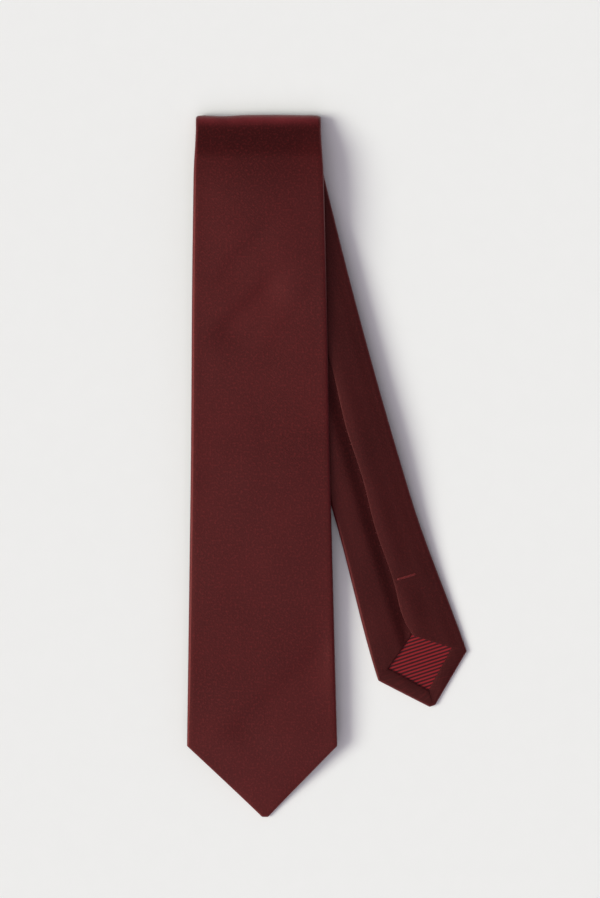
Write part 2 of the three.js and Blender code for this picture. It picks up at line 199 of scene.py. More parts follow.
def outer_fold_curve():
    """Side view of the outer fold's face, from where the blade starts to rise over it to the lower run."""
    step = 0.25
    arc = np.arange(0, FOLD_REACH + step, step)
    angle = (pi / 2 - CREST_SLOPE) * (1 - smooth(arc, 0, 9))
    angle = angle + (CREST_SLOPE - SHOULDER_SLOPE) * (1 - smooth(arc, 19, 32))
    angle = angle + SHOULDER_SLOPE * (1 - smooth(arc, 32, FOLD_REACH))

    def travelled(rate):
        return np.concatenate([[0], np.cumsum((rate[1:] + rate[:-1]) / 2 * step)])

    rise, back = travelled(np.sin(angle)), travelled(np.cos(angle))
    radius = FOLD_TOP - rise[-1]
    turn = np.linspace(0, pi / 2, 30)[1:]
    y = np.concatenate([(CREST_Y - back)[::-1], CREST_Y - radius * (1 - np.cos(turn))])
    z = np.concatenate([(radius + rise)[::-1], radius - radius * np.sin(turn)])
    return y, z


class BladeRoute:
    """The blade from its tip, the outer fold, and the first stretch of the lower run, face down."""

    def __init__(self, run_end_y):
        fold_y, fold_z = outer_fold_curve()
        blade_y = np.arange(TIP_Y, fold_y[0], 1.0)
        blade_z = blade_back(blade_y) + 2 * blade_radius(blade_y - TIP_Y)
        run_y = np.arange(fold_y[-1] - 1, run_end_y - 0.5, -1.0)
        self.y = np.concatenate([blade_y, fold_y, run_y])
        self.z = np.concatenate([blade_z, fold_z, 0 * run_y])
        flat_steps = np.diff(self.y)
        steps = np.hypot(flat_steps, np.diff(self.z))
        on_blade = self.y[1:] <= fold_y[0]
        self.s = np.concatenate([[0], np.cumsum(np.where(on_blade, flat_steps, steps))])
        tangent_y, tangent_z = np.gradient(self.y, self.s), np.gradient(self.z, self.s)
        size = np.hypot(tangent_y, tangent_z)
        self.out_y, self.out_z = -tangent_z / size, tangent_y / size
        self.crest = float(self.s[np.argmax(self.y)])
        self.length = float(self.s[-1])

    def middle(self, s):
        y = np.interp(s, self.s, self.y)
        run = lerp(BLADE_TOP_X, NECK_FOLD_X, (TOP_Y - y) / RUN_LENGTH)
        return np.where(s > self.crest, run, blade_x(y))

    def half(self, s):
        y = np.interp(s, self.s, self.y)
        shoulder = BLADE_END["shoulder"]
        share = (y - TIP_Y - shoulder) / (BLADE_LENGTH - shoulder)
        spread = 0.7 * smooth(share, 0.4, 0.8) * (1 - smooth(share, 0.92, 1.0))
        blade = lerp(BLADE_HALF, BLADE_TOP_HALF, np.minimum(share, 1)) + spread
        run = lerp(BLADE_TOP_HALF, NECK_FOLD_HALF, (TOP_Y - y) / RUN_LENGTH)
        return np.where(s > self.crest, run, blade)

    def place(self, s, u, n):
        y = np.interp(s, self.s, self.y) - n * np.interp(s, self.s, self.out_y)
        z = np.interp(s, self.s, self.z) - n * np.interp(s, self.s, self.out_z)
        return np.stack([self.middle(s) + lean(s, BLADE_END) + u, y, z], -1)


def blade_radius(s):
    return lerp(TIP_RADIUS, EDGE_RADIUS, smooth(s, BLADE_END["shoulder"] + 1, 76))


def tail_radius(s):
    return lerp(TIP_RADIUS, EDGE_RADIUS, smooth(s, TAIL_END["shoulder"] + 1, 50))


NECK_HEADING = atan2(INNER_FOLD_X - NECK_FOLD_X, INNER_FOLD_Y - NECK_FOLD_Y)
UPPER_RUN_LENGTH = hypot(INNER_FOLD_X - NECK_FOLD_X, INNER_FOLD_Y - NECK_FOLD_Y)
CREASE_ANGLE = (TAIL_HEADING - NECK_HEADING) / 2
CREASE_SKEW = (TAIL_HEADING + NECK_HEADING) / 2
CREASE_DRIFT = pi * (INNER_FOLD_RADIUS + BAND / 2) * tan(CREASE_SKEW)
TAIL_START_X = INNER_FOLD_X + CREASE_DRIFT * cos(CREASE_ANGLE)
TAIL_START_Y = INNER_FOLD_Y + CREASE_DRIFT * sin(CREASE_ANGLE)


def place_neck(s, u, n):
    """The lower run, face down, the neck fold, and the upper run, face up. s starts at the outer fold."""
    lower = [lerp(BLADE_TOP_X, NECK_FOLD_X, s / RUN_LENGTH) + u, TOP_Y - s, n + 0 * s]
    angle = np.clip((s - RUN_LENGTH) / NECK_FOLD_RADIUS, 0, pi)
    r = NECK_FOLD_RADIUS - n
    fold = [NECK_FOLD_X + u, NECK_FOLD_Y - r * np.sin(angle), NECK_FOLD_RADIUS - r * np.cos(angle)]
    up = s - UPPER_RUN_START
    x = NECK_FOLD_X + up * sin(NECK_HEADING) + u * cos(NECK_HEADING)
    y = NECK_FOLD_Y + up * cos(NECK_HEADING) - u * sin(NECK_HEADING)
    upper = [x, y, 2 * NECK_FOLD_RADIUS - n + 0 * s]
    on_lower, on_fold = s < RUN_LENGTH, up < 0
    parts = zip(lower, fold, upper)
    return np.stack([np.where(on_lower, a, np.where(on_fold, b, c)) for a, b, c in parts], -1)


def neck_half(s):
    lower = lerp(BLADE_TOP_HALF, NECK_FOLD_HALF, np.minimum(s / RUN_LENGTH, 1))
    up = np.maximum(s - UPPER_RUN_START, 0)
    return np.where(s < RUN_LENGTH, lower, lerp(NECK_FOLD_HALF, INNER_FOLD_HALF, up / UPPER_RUN_LENGTH))


def place_inner_fold(s, u, n):
    """s is the angle about the fold in degrees, 0 at the upper run and 180 at the tail."""
    a = np.radians(s)
    r = INNER_FOLD_RADIUS + n
    along = u / cos(CREASE_SKEW) + CREASE_DRIFT * s / 180
    x = INNER_FOLD_X + along * cos(CREASE_ANGLE) - r * np.sin(a) * sin(CREASE_ANGLE)
    y = INNER_FOLD_Y + along * sin(CREASE_ANGLE) + r * np.sin(a) * cos(CREASE_ANGLE)
    return np.stack([x, y, FOLD_HEIGHT - r * np.cos(a)], -1)


def tail_face(d):
    onto_runs = lerp(FOLD_HEIGHT + INNER_FOLD_RADIUS, 7.4, smooth(d, 5, 60))
    return lerp(onto_runs, 0.05, smooth(d, 150, 262))


def place_tail(s, u, n):
    """s is the height above the tail's tip. Its head starts on the skewed crease of the inner fold."""
    d = TAIL_LENGTH - s
    heading = TAIL_HEADING + TAIL_TURN * d
    across = u + lean(s, TAIL_END)
    x = TAIL_START_X + (cos(TAIL_HEADING) - np.cos(heading)) / TAIL_TURN + across * np.cos(heading)
    y = TAIL_START_Y - (np.sin(heading) - sin(TAIL_HEADING)) / TAIL_TURN + across * np.sin(heading)
    return np.stack([x, y, tail_face(d) + n], -1)


def tail_half(s):
    flare = 3.2 * (1 - smooth(s, TAIL_END["shoulder"], 110))
    return INNER_FOLD_HALF + lerp(2, 0, s / TAIL_LENGTH) + flare


# ======== sheets of cloth


class Sheet:
    """Grids of cloth in band coordinates, welded where their points meet."""

    def __init__(self):
        self.points, self.faces, self.count = [], [], 0

    def grid(self, s, u, n, w, wear_and_painted_highlight=0.0):
        s, u, n, w, wear_and_painted_highlight = np.broadcast_arrays(*(np.asarray(v, float) for v in (s, u, n, w, wear_and_painted_highlight)))
        rows, columns = s.shape
        index = self.count + np.arange(rows * columns).reshape(rows, columns)
        self.points.append(np.stack([s, u, n, w, wear_and_painted_highlight], -1).reshape(-1, 5))
        corners = [index[:-1, :-1], index[1:, :-1], index[1:, 1:], index[:-1, 1:]]
        self.faces.append(np.stack(corners, -1).reshape(-1, 4))
        self.count += rows * columns

    def welded(self):
        points, faces = np.concatenate(self.points), np.concatenate(self.faces)
        keys = np.round(points[:, :3] / 0.002).astype(np.int64)
        _, first, inverse = np.unique(keys, axis=0, return_index=True, return_inverse=True)
        kept = []
        for face in inverse.reshape(-1)[faces]:
            corners = [int(v) for i, v in enumerate(face) if v != face[i - 1]]
            if len(corners) > 2 and len(set(corners)) == len(corners):
                kept.append(corners)
        return points[first], kept


def add_object(name, data):
    obj = bpy.data.objects.new(name, data)
    bpy.context.scene.collection.objects.link(obj)
    return obj


def mesh_object(name, xyz, faces, uv, wear_and_painted_highlight, sharp=()):
    """A smooth-shaded mesh object from millimetres, with the flat cloth's coordinates as its UV map."""
    mesh = bpy.data.meshes.new(name)
    mesh.from_pydata((xyz * MM).tolist(), [], faces)
    mesh.polygons.foreach_set("use_smooth", [True] * len(mesh.polygons))
    corners = np.zeros(len(mesh.loops), int)
    mesh.loops.foreach_get("vertex_index", corners)
    layer = mesh.uv_layers.new(name="flat_cloth")
    layer.data.foreach_set("uv", (uv[corners] * MM).astype(np.float32).ravel())
    # This attribute lightens the satin: wear and a painted sheen highlight on rolled edges, and a painted
    # highlight on the blade's crest.
    mesh.attributes.new("wear_and_painted_highlight", "FLOAT", "POINT").data.foreach_set("value", np.asarray(wear_and_painted_highlight, np.float32))
    if sharp:
        ends = np.zeros(len(mesh.edges) * 2, int)
        mesh.edges.foreach_get("vertices", ends)
        flags = [(min(a, b), max(a, b)) in sharp for a, b in ends.reshape(-1, 2).tolist()]
        mesh.attributes.new("sharp_edge", "BOOLEAN", "EDGE").data.foreach_set("value", flags)
    mesh.validate()
    mesh.update()
    return add_object(name, mesh)


def vertex_normals(xyz, faces):
    normals = np.zeros_like(xyz)
    for size in (3, 4):
        index = np.array([f for f in faces if len(f) == size], int)
        if len(index):
            across = xyz[index[:, size - 1]] - xyz[index[:, 1]]
            along = xyz[index[:, 2]] - xyz[index[:, 0]]
            for corner in range(size):
                np.add.at(normals, index[:, corner], np.cross(along, across))
    return normals / np.maximum(np.linalg.norm(normals, axis=1, keepdims=True), 1e-9)


def turned_one_way(xyz, faces):
    """The same faces, all wound the same way round."""
    mesh = bmesh.new()
    vertices = [mesh.verts.new(point) for point in xyz]
    for face in faces:
        mesh.faces.new([vertices[v] for v in face])
    mesh.verts.index_update()
    bmesh.ops.recalc_face_normals(mesh, faces=mesh.faces)
    wound = [[v.index for v in face.verts] for face in mesh.faces]
    mesh.free()
    return wound


def cloth(name, sheet, place, thickness=CLOTH):
    """The sheet as one piece of cloth: an outer side where the sheet is, an inner side, and a rim."""
    points, faces = sheet.welded()
    s, u, n, w, wear_and_painted_highlight = points.T
    xyz = place(s, u, n)
    faces = turned_one_way(xyz, faces)
    normals = vertex_normals(xyz, faces)
    first = faces[0]
    outwards = xyz[first] - place(s[first], u[first], n[first] + 0.5)
    if np.sum(outwards * normals[first]) < 0:
        faces = [face[::-1] for face in faces]
        normals = -normals
    count = len(xyz)
    used = {(a, b): True for face in faces for a, b in zip(face, face[1:] + face[:1])}
    border = [(a, b) for a, b in used if (b, a) not in used]
    inner = [[v + count for v in face[::-1]] for face in faces]
    rim = [[b, a, a + count, b + count] for a, b in border]
    sharp = {(min(a, b) + k, max(a, b) + k) for a, b in border for k in (0, count)}
    both = np.concatenate([xyz, xyz - normals * thickness])
    uv = np.stack([w, s], -1)
    return mesh_object(name, both, faces + inner + rim, np.tile(uv, (2, 1)), np.tile(wear_and_painted_highlight, 2), sharp)


class Band:
    """How wide and thick a stretch of the made-up band is, and how its cloth swells."""

    def __init__(self, half, radius, swell=None, lift=None, right_edge=None, face_highlight=None):
        self.half = half
        self.radius = radius
        self.swell = swell or always(0)
        self.lift = lift or always(0.25)
        self.right_edge = right_edge or always(RIGHT_FLAP_EDGE)
        # A painted highlight laid on the face, used for the blade's crest.
        self.face_highlight = face_highlight or always(0)

    def inset(self, s):
        return self.half(s) - self.radius(s)

    def flap_edge(self, s, side):
        return self.right_edge(s) if side > 0 else LEFT_FLAP_EDGE + 0 * s

    def flap_height(self, s, u, side):
        """How far the flap's outside is from the face: it rises from the side edge, and dips at the seam."""
        from_edge = self.inset(s) - side * u
        rise = smooth(from_edge, 0, 7)
        dip = (FLAP_SINK + 0.3) * smooth(u, -9, -0.8) if side < 0 else 0.12 * (1 - smooth(u, -1, 3))
        return np.maximum(2 * self.radius(s) + rise * self.lift(s, u, side) - dip, FLAP_LOWEST)


def face_grid(sheet, s, inset, band, fade=1.0):
    t = np.linspace(-1, 1, FACE_COLUMNS + 1)
    u = t * inset
    sheet.grid(s, u, -band.swell(s, u) * (1 - np.abs(t) ** 5) * fade, u, band.face_highlight(s, u))


def turned_edge(sheet, s, u, n, w, angle, radius, turn, depth=0.0, inwards=1.0, wear_and_painted_highlight=0.0):
    """An edge turned over along a path: out along angle (0 is across the band) and over, then back."""
    out = radius[:, None] * np.sin(turn)
    through = radius[:, None] * (1 - np.cos(turn))
    arc = radius[:, None] * turn
    if np.any(depth):
        hem = np.broadcast_to(depth, radius.shape)[:, None]
        out = np.concatenate([out, -hem], 1)
        through = np.concatenate([through, through[:, -1:]], 1)
        arc = np.concatenate([arc, arc[:, -1:] + hem], 1)
    side = np.sign(np.where(np.abs(w) < 1e-6, 1, w))[:, None]
    sheet.grid(
        s[:, None] + np.sin(angle)[:, None] * out,
        u[:, None] + np.cos(angle)[:, None] * out,
        n[:, None] + inwards * through,
        w[:, None] + side * arc,
        wear_and_painted_highlight,
    )


# Rolled and turned edges are painted lighter: partly wear, partly a painted sheen highlight along their
# rims.
EDGE_WEAR_AND_HIGHLIGHT = np.sin(EDGE_TURN) ** 0.7
HEM_WEAR_AND_HIGHLIGHT = np.concatenate([np.sin(HEM_TURN), [0]]) * 0.2


def run_grids(sheet, band, s):
    """The band's whole section along rows s: face, side edges, flaps and their turned edges."""
    rows = s[:, None]
    inset = band.inset(s)
    face_grid(sheet, rows, inset[:, None], band)
    for side in (1, -1):
        zero = 0 * s
        angle = zero if side > 0 else zero + pi
        edge_u, radius = side * inset, band.radius(s)
        turned_edge(sheet, s, edge_u, zero, edge_u, angle, radius, EDGE_TURN, wear_and_painted_highlight=EDGE_WEAR_AND_HIGHLIGHT)
        t = np.linspace(0, 1, FLAP_COLUMNS + 1)
        edge = band.flap_edge(s, side)
        u = lerp(side * inset[:, None], edge[:, None], t)
        n = band.flap_height(rows, u, side)
        across = side * (inset + pi * band.radius(s))[:, None] + side * np.abs(u - side * inset[:, None])
        sheet.grid(rows, u, n, across)
        turned_edge(
            sheet, s, u[:, -1], n[:, -1], across[:, -1], angle + pi, zero + TURNED_RADIUS, HEM_TURN,
            depth=TURNED_DEPTH, inwards=-1.0, wear_and_painted_highlight=HEM_WEAR_AND_HIGHLIGHT,
        )


def end_grids(sheet, band, end, top, tip_rows=22, flap_rows=14):
    """The pointed end of a blade or tail, up to the row at top: face, edges, hems and lower flaps."""
    r = TIP_RADIUS
    half = float(band.half(end["shoulder"]))
    k = (half - TIP_HALF) / end["shoulder"]
    root = sqrt(1 + k * k)
    corner = (half - r - TIP_HALF + r * root) / k
    bottom_half = TIP_HALF + k * r - r * root
    corner_half = float(band.inset(np.array(corner)))
    tip_s = np.linspace(corner, r, tip_rows)
    tip_u = lerp(corner_half, bottom_half, (corner - tip_s) / (corner - r))
    side_s = np.linspace(top, corner, flap_rows + 1)
    side_u = band.inset(side_s)
    tilt = -atan2(k, 1)

    rows = np.concatenate([side_s, tip_s[1:]])
    insets = np.concatenate([side_u, tip_u[1:]])
    face_grid(sheet, rows[:, None], insets[:, None], band, smooth(rows, r, r + 14)[:, None])

    bottom_u = np.linspace(-1, 1, FACE_COLUMNS + 1)[::-1] * bottom_half
    turn = np.linspace(0, 1, 6)
    path = [
        (side_s, side_u, 0 * side_s),
        (corner + 0 * turn, corner_half + 0 * turn, tilt * turn),
        (tip_s, tip_u, tilt + 0 * tip_s),
        (r + 0 * turn, bottom_half + 0 * turn, lerp(tilt, -pi / 2, turn)),
    ]
    right = [np.concatenate(column) for column in zip(*path)]
    bottom = [r + 0 * bottom_u, bottom_u, -pi / 2 + 0 * bottom_u]
    left = [right[0][::-1], -right[1][::-1], (-pi - right[2])[::-1]]
    s, u, angle = [np.concatenate(parts) for parts in zip(right, bottom, left)]
    turned_edge(sheet, s, u, 0 * s, u, angle, band.radius(s), EDGE_TURN, wear_and_painted_highlight=EDGE_WEAR_AND_HIGHLIGHT)

    for side in (1, -1):
        hem_grids(sheet, side, end, corner_half, r, bottom_half, tip_s, tip_u)
        flap_end_grids(sheet, side, band, end, corner, corner_half, side_s[::-1])


def hem_grids(sheet, side, end, corner_half, r, bottom_half, tip_s, tip_u):
    """The cloth turned up along one slanting edge, mitred at the tip, with its own edge turned under."""
    half_bottom = np.linspace(0, bottom_half, FACE_COLUMNS // 2 + 1)
    outer_s = np.concatenate([r + 0 * half_bottom, tip_s[::-1][1:]])
    outer_u = np.concatenate([half_bottom, tip_u[::-1][1:]])
    share = outer_u / corner_half
    inner_u = end["hem_half"] * share
    inner_s = end["hem"] + end["slope"] * inner_u
    t = np.linspace(0, 1, 7)
    mitre = (0.55 if side > 0 else 0) * bump(share, 0, 0.3)[:, None] * smooth(t, 0, 0.3)
    n = 2 * r + 0.16 * np.sin(pi * t) + 0.2 * t - mitre - 0.15 * smooth(share, 0.8, 1)[:, None] * t
    s = lerp(outer_s[:, None], inner_s[:, None], t)
    u = side * lerp(outer_u[:, None], inner_u[:, None], t)
    w = side * (outer_u[:, None] + pi * r + 6 * t)
    sheet.grid(s, u, n, w)
    normal = pi - atan2(1, end["slope"])
    angle = np.where(share < 1e-9, pi / 2, normal if side > 0 else pi - normal)
    radius = 0.26 + 0 * share
    turned_edge(sheet, s[:, -1], u[:, -1], n[:, -1], w[:, -1], angle, radius, HEM_TURN, 1.5, -1.0, HEM_WEAR_AND_HIGHLIGHT)


def flap_end_grids(sheet, side, band, end, corner, corner_half, stations):
    """The lower end of a flap, cut from the shoulder up to the seam, with its edges turned under."""
    t = np.linspace(0, 1, FLAP_COLUMNS + 1)[None, :]
    lower = lerp(corner, end["flaps"], t)
    k = ((stations - stations[0]) / (stations[-1] - stations[0]))[:, None]
    s = lerp(lower, stations[-1], k)
    top_edge = float(band.flap_edge(stations[-1:], side)[0])
    point = 0.2 if side > 0 else -0.6
    inner = lerp(point, top_edge, smooth(k, 0, 1))
    inset = side * band.inset(stations)[:, None]
    u = lerp(inset, inner, t)
    n = band.flap_height(lerp(stations[:, None], s, smooth(t, 0, 0.3)), u, side)
    across = side * (corner_half + pi * EDGE_RADIUS) + side * np.abs(u - inset)
    sheet.grid(s, u, n, across)
    normal = -pi / 2 - atan2(end["flaps"] - corner, corner_half)
    free = -pi
    corner_turn = np.linspace(0, 1, 5)
    columns, rows = t.shape[1], len(stations)
    path = [np.concatenate([v[0], v[0, -1] + 0 * corner_turn, v[:, -1]]) for v in (s, u, n, across)]
    turns = [normal + np.zeros(columns), lerp(normal, free, corner_turn), free + np.zeros(rows)]
    angle = np.concatenate(turns)
    if side < 0:
        angle = pi - angle
    grow = np.concatenate([smooth(t[0], 0, 0.25), np.ones(len(corner_turn) + rows)])
    radius = lerp(0.15, TURNED_RADIUS, grow)
    depth = lerp(0.4, TURNED_DEPTH, grow)
    depth[columns - 1:columns + len(corner_turn) + 3] = 1.2
    turned_edge(sheet, *path, angle, radius, HEM_TURN, depth, -1.0, HEM_WEAR_AND_HIGHLIGHT)


def slab(name, place, s, left, right, outside, thickness, columns=16):
    """A plain layer between two sides along rows s, such as interlining or lining."""
    sheet = Sheet()
    t = np.linspace(0, 1, columns + 1)
    u = lerp(left[:, None], right[:, None], t)
    sheet.grid(s[:, None], u, outside(s[:, None], u), u)
    return cloth(name, sheet, place, thickness)


# ======== swelling and creases


def drift(s, u, size, seed):
    """Slow, even swelling of the cloth, from -1 to 1."""
    s, u = np.broadcast_arrays(s, u)
    flat = [noise.noise((a / size, b / size, seed)) for a, b in zip(s.ravel(), u.ravel())]
    return np.array(flat).reshape(s.shape)


def ridge(s, u, start, end, widths, height):
    """A soft ridge, or a dent if height is negative, along a line between two points given as (s, u).

    Its sides fall away over the two widths: to the left of the line, and to the right of it.
    """
    ds, du = end[0] - start[0], end[1] - start[1]
    size = hypot(ds, du)
    along = ((s - start[0]) * ds + (u - start[1]) * du) / size
    beside = ((u - start[1]) * ds - (s - start[0]) * du) / size
    past = np.maximum(np.maximum(-along, along - size), 0)
    width = np.where(beside > 0, widths[1], widths[0])
    return height * np.exp(-((beside / width) ** 2) - (past / 12) ** 2)


def blade_swell(route):
    """How far the blade's face stands out: crowned, creased, and full at the fold's corners."""
    def swell(s, u):
        share = u / 34
        crown = 0.35 * (1 - share ** 2)
        dents = sum(ridge(s, u, *crease) for crease in CREASES)
        near_crest = np.abs(s - route.crest)
        corner = 0.6 * (bump(u, -30, 3) + bump(u, 30, 3)) * np.exp(-((near_crest / 6) ** 2))
        dip = -0.45 * bump(u, -18, 8) * np.exp(-((near_crest / 8) ** 2))
        waves = 0.4 * drift(s, u, 45, 1.5) + 0.05 * drift(s, u, 13, 4.5)
        on_table = smooth(s, route.crest + 1, route.crest + 9)
        return (crown + dents + corner + dip + waves) * (1 - on_table)
    return swell


def tail_lift(s, u, side):
    """Flaps of the tail: they puff up beside the seam, more in some places than in others."""
    base = 0.35 + 0.16 * drift(s, u, 17, 2.5 + side)
    puff = 0.25 + 0.35 * bump(s, 96, 26) + 0.3 * bump(s, 52, 10) + 0.2 * bump(s, 150, 30)
    held = 1 - 0.8 * bump(s, 70, 6) * bump(u, 4, 7)
    if side < 0:
        return base + 0.5 * puff * bump(u, -9, 5) - 0.02 * (u + 23)
    return base + puff * held * bump(u, 3.5, 6)


def tail_seam_edge(s):
    """Where the tail's right flap ends: it wanders a little."""
    return RIGHT_FLAP_EDGE + 0.5 * np.sin(s / 9.0) * smooth(s, 44, 60) - 0.5 * bump(s, 55, 8)


# ======== materials


class Shader:
    """Short calls for building a material's nodes."""

    def __init__(self, name):
        self.material = bpy.data.materials.new(name)
        self.material.use_nodes = True
        self.tree = self.material.node_tree
        self.surface = self.tree.nodes["Principled BSDF"]

    def node(self, kind, inputs=None, **settings):
        node = self.tree.nodes.new(kind)
        for key, value in settings.items():
            setattr(node, key, value)
        for key, value in (inputs or {}).items():
            self.set(node.inputs[key], value)
        return node

    def set(self, socket, value):
        if isinstance(value, bpy.types.NodeSocket):
            self.tree.links.new(value, socket)
        else:
            socket.default_value = value

    def flat_cloth(self, turn=0.0):
        uv = self.node("ShaderNodeUVMap", uv_map="flat_cloth").outputs["UV"]
        return self.node("ShaderNodeMapping", {"Vector": uv, "Rotation": (0, 0, turn)}).outputs["Vector"]

    def here(self):
        return self.node("ShaderNodeTexCoord").outputs["Object"]

    def noise(self, where, scale, detail=2.0):
        inputs = {"Vector": where, "Scale": scale, "Detail": detail}
        return self.node("ShaderNodeTexNoise", inputs).outputs["Fac"]

    def threads(self, where, pitch, direction, wobble=0.0):
        inputs = {"Vector": where, "Scale": 2 * pi / (20 * pitch), "Distortion": wobble, "Detail Scale": 0.5}
        kind = {"wave_type": "BANDS", "bands_direction": direction, "wave_profile": "SIN"}
        return self.node("ShaderNodeTexWave", inputs, **kind).outputs["Fac"]

    def math(self, operation, a, b=0.0, clamp=False):
        node = self.node("ShaderNodeMath", {0: a, 1: b}, operation=operation, use_clamp=clamp)
        return node.outputs["Value"]

    def mix(self, share, a, b):
        return self.node("ShaderNodeMix", {"Factor": share, 6: a, 7: b}, data_type="RGBA").outputs[2]

    def range(self, value, low, high, to_low=0.0, to_high=1.0):
        inputs = {"Value": value, "From Min": low, "From Max": high, "To Min": to_low, "To Max": to_high}
        return self.node("ShaderNodeMapRange", inputs).outputs["Result"]

    # Reads the attribute that carries wear and painted highlight.
    def wear_and_painted_highlight(self):
        return self.node("ShaderNodeAttribute", attribute_name="wear_and_painted_highlight").outputs["Fac"]

    def raise_surface(self, height, distance, strength=1.0, under=None):
        inputs = {"Height": height, "Distance": distance, "Strength": strength}
        if under:
            inputs["Normal"] = under
        return self.node("ShaderNodeBump", inputs).outputs["Normal"]

    def finish(self, **inputs):
        for key, value in inputs.items():
            self.set(self.surface.inputs[key.replace("_", " ")], value)
        return self.material


def colour(red, green, blue):
    """A colour given in sRGB, 0 to 255, as linear light."""
    def linear(v):
        v /= 255
        return v / 12.92 if v <= 0.04045 else ((v + 0.055) / 1.055) ** 2.4
    return (linear(red), linear(green), linear(blue), 1)


def satin(name, depth):
    """Burgundy silk satin, cut on the bias: floats run at 45 degrees. Edges are lighter, partly wear and
    partly a painted sheen highlight, and the blade's crest has a painted highlight.

    Depth darkens the whole cloth as painted shade, for stretches that catch less light.
    """
    m = Shader(name)
    bias = m.flat_cloth(radians(45))
    floats = m.threads(bias, 0.00034, "X", 0.6)
    weft = m.threads(bias, 0.0011, "Y", 1.2)
    grain = m.noise(bias, 1900, 3)
    speck = m.noise(m.flat_cloth(), 850, 4)
    broad = m.noise(m.here(), 30, 3)
    dark, middle, light = (colour(*(v * depth for v in tone)) for tone in SATIN_TONES)
    base = m.mix(m.range(grain, 0.35, 0.7), dark, middle)
    base = m.mix(m.math("MULTIPLY", m.range(speck, 0.5, 0.7), 0.75), base, light)
    base = m.mix(m.math("MULTIPLY", m.range(broad, 0.4, 0.7), 0.2), base, light)
    # Painted highlight toward a light rose: on the blade's crest, and on edges partly wear, partly painted
    # sheen.
    base = m.mix(m.math("MULTIPLY", m.wear_and_painted_highlight(), 0.3, clamp=True), base, colour(136, 48, 54))
    weave = m.math("ADD", m.math("MULTIPLY", floats, 0.6), m.math("MULTIPLY", weft, 0.2))
    normal = m.raise_surface(weave, 0.00004, 0.6)
    normal = m.raise_surface(grain, 0.00016, 0.45, normal)
    normal = m.raise_surface(speck, 0.0003, 0.35, normal)
    roughness = m.range(speck, 0.3, 0.7, 0.38, 0.46)
    m.finish(Base_Color=base, Roughness=roughness, Normal=normal)
    return m.finish(
        IOR=1.5, Specular_IOR_Level=0.64 * depth, Specular_Tint=(1, 0.27, 0.255, 1),
        Sheen_Weight=0.2, Sheen_Roughness=0.3, Sheen_Tint=(1, 0.4, 0.4, 1),
    )


def striped_lining():
    """Satin tipping, woven with ribs across the tie."""
    m = Shader("striped_lining")
    flat = m.flat_cloth()
    ribs = m.threads(flat, 0.0018, "Y", 0.35)
    broken = m.noise(flat, 1800, 2)
    floats = m.threads(flat, 0.0003, "X", 0.4)
    share = m.range(m.math("ADD", ribs, m.math("MULTIPLY", broken, 0.35)), 0.45, 0.95)
    base = m.mix(share, colour(32, 6, 10), colour(140, 27, 33))
    base = m.mix(m.math("MULTIPLY", floats, 0.18), base, colour(58, 10, 18))
    normal = m.raise_surface(ribs, 0.00018, 0.7)
    m.finish(Base_Color=base, Roughness=0.4, Normal=m.raise_surface(broken, 0.0001, 0.4, normal))
    return m.finish(
        IOR=1.5, Specular_IOR_Level=0.4, Specular_Tint=(1, 0.4, 0.4, 1),
        Sheen_Weight=0.3, Sheen_Roughness=0.4, Sheen_Tint=(1, 0.5, 0.5, 1),
    )


def interlining_wool():
    m = Shader("interlining_wool")
    bias = m.flat_cloth(radians(45))
    warp = m.threads(bias, 0.0009, "X", 1.5)
    weft = m.threads(bias, 0.0011, "Y", 1.5)
    fuzz = m.noise(m.here(), 1400, 4)
    weave = m.math("MULTIPLY", warp, weft)
    base = m.mix(m.range(weave, 0.1, 0.8), colour(196, 188, 170), colour(231, 226, 213))
    base = m.mix(m.math("MULTIPLY", fuzz, 0.4), base, colour(214, 206, 190))
    normal = m.raise_surface(weave, 0.0003, 0.8)
    m.finish(Base_Color=base, Roughness=0.95, Normal=m.raise_surface(fuzz, 0.0002, 0.6, normal))
    return m.finish(Sheen_Weight=0.35, Sheen_Roughness=0.6)


def silk_thread(name, light, dark):
    m = Shader(name)
    twist = m.noise(m.here(), 4200, 2)
    base = m.mix(m.range(twist, 0.35, 0.65), dark, light)
    m.finish(Base_Color=base, Roughness=0.42, Normal=m.raise_surface(twist, 0.00006, 0.6))
    return m.finish(Specular_Tint=(1, 0.35, 0.35, 1), Sheen_Weight=0.25, Sheen_Tint=(1, 0.4, 0.4, 1))


def label_tape():
    m = Shader("label_tape")
    flat = m.flat_cloth()
    warp = m.threads(flat, 0.0003, "X", 0.3)
    weft = m.threads(flat, 0.00045, "Y", 0.3)
    weave = m.math("MULTIPLY", warp, weft)
    stain = m.noise(m.here(), 120, 3)
    base = m.mix(m.range(weave, 0, 0.9), colour(214, 210, 199), colour(240, 238, 231))
    base = m.mix(m.math("MULTIPLY", stain, 0.25), base, colour(222, 214, 198))
    m.finish(Base_Color=base, Roughness=0.7, Normal=m.raise_surface(weave, 0.00008, 0.7))
    return m.finish(Sheen_Weight=0.3)


def table_top():
    m = Shader("pale_table")
    speck = m.noise(m.here(), 90, 3)
    base = m.mix(speck, (0.852, 0.852, 0.846, 1), (0.868, 0.868, 0.862, 1))
    return m.finish(Base_Color=base, Roughness=0.85, Specular_IOR_Level=0.2)


SATIN = satin("burgundy_satin", 1.0)
# A painted-shade copy of the satin: the tail's cloth made darker, for flaps that catch less light.
TAIL_SATIN_SHADED = satin("burgundy_satin_painted_shade", 0.74)
LINING = striped_lining()
WOOL = interlining_wool()
THREAD = silk_thread("silk_thread", colour(92, 28, 32), colour(60, 17, 20))
TACK_THREAD = silk_thread("tack_thread", colour(128, 46, 46), colour(86, 26, 28))
TAPE = label_tape()


# ======== pieces


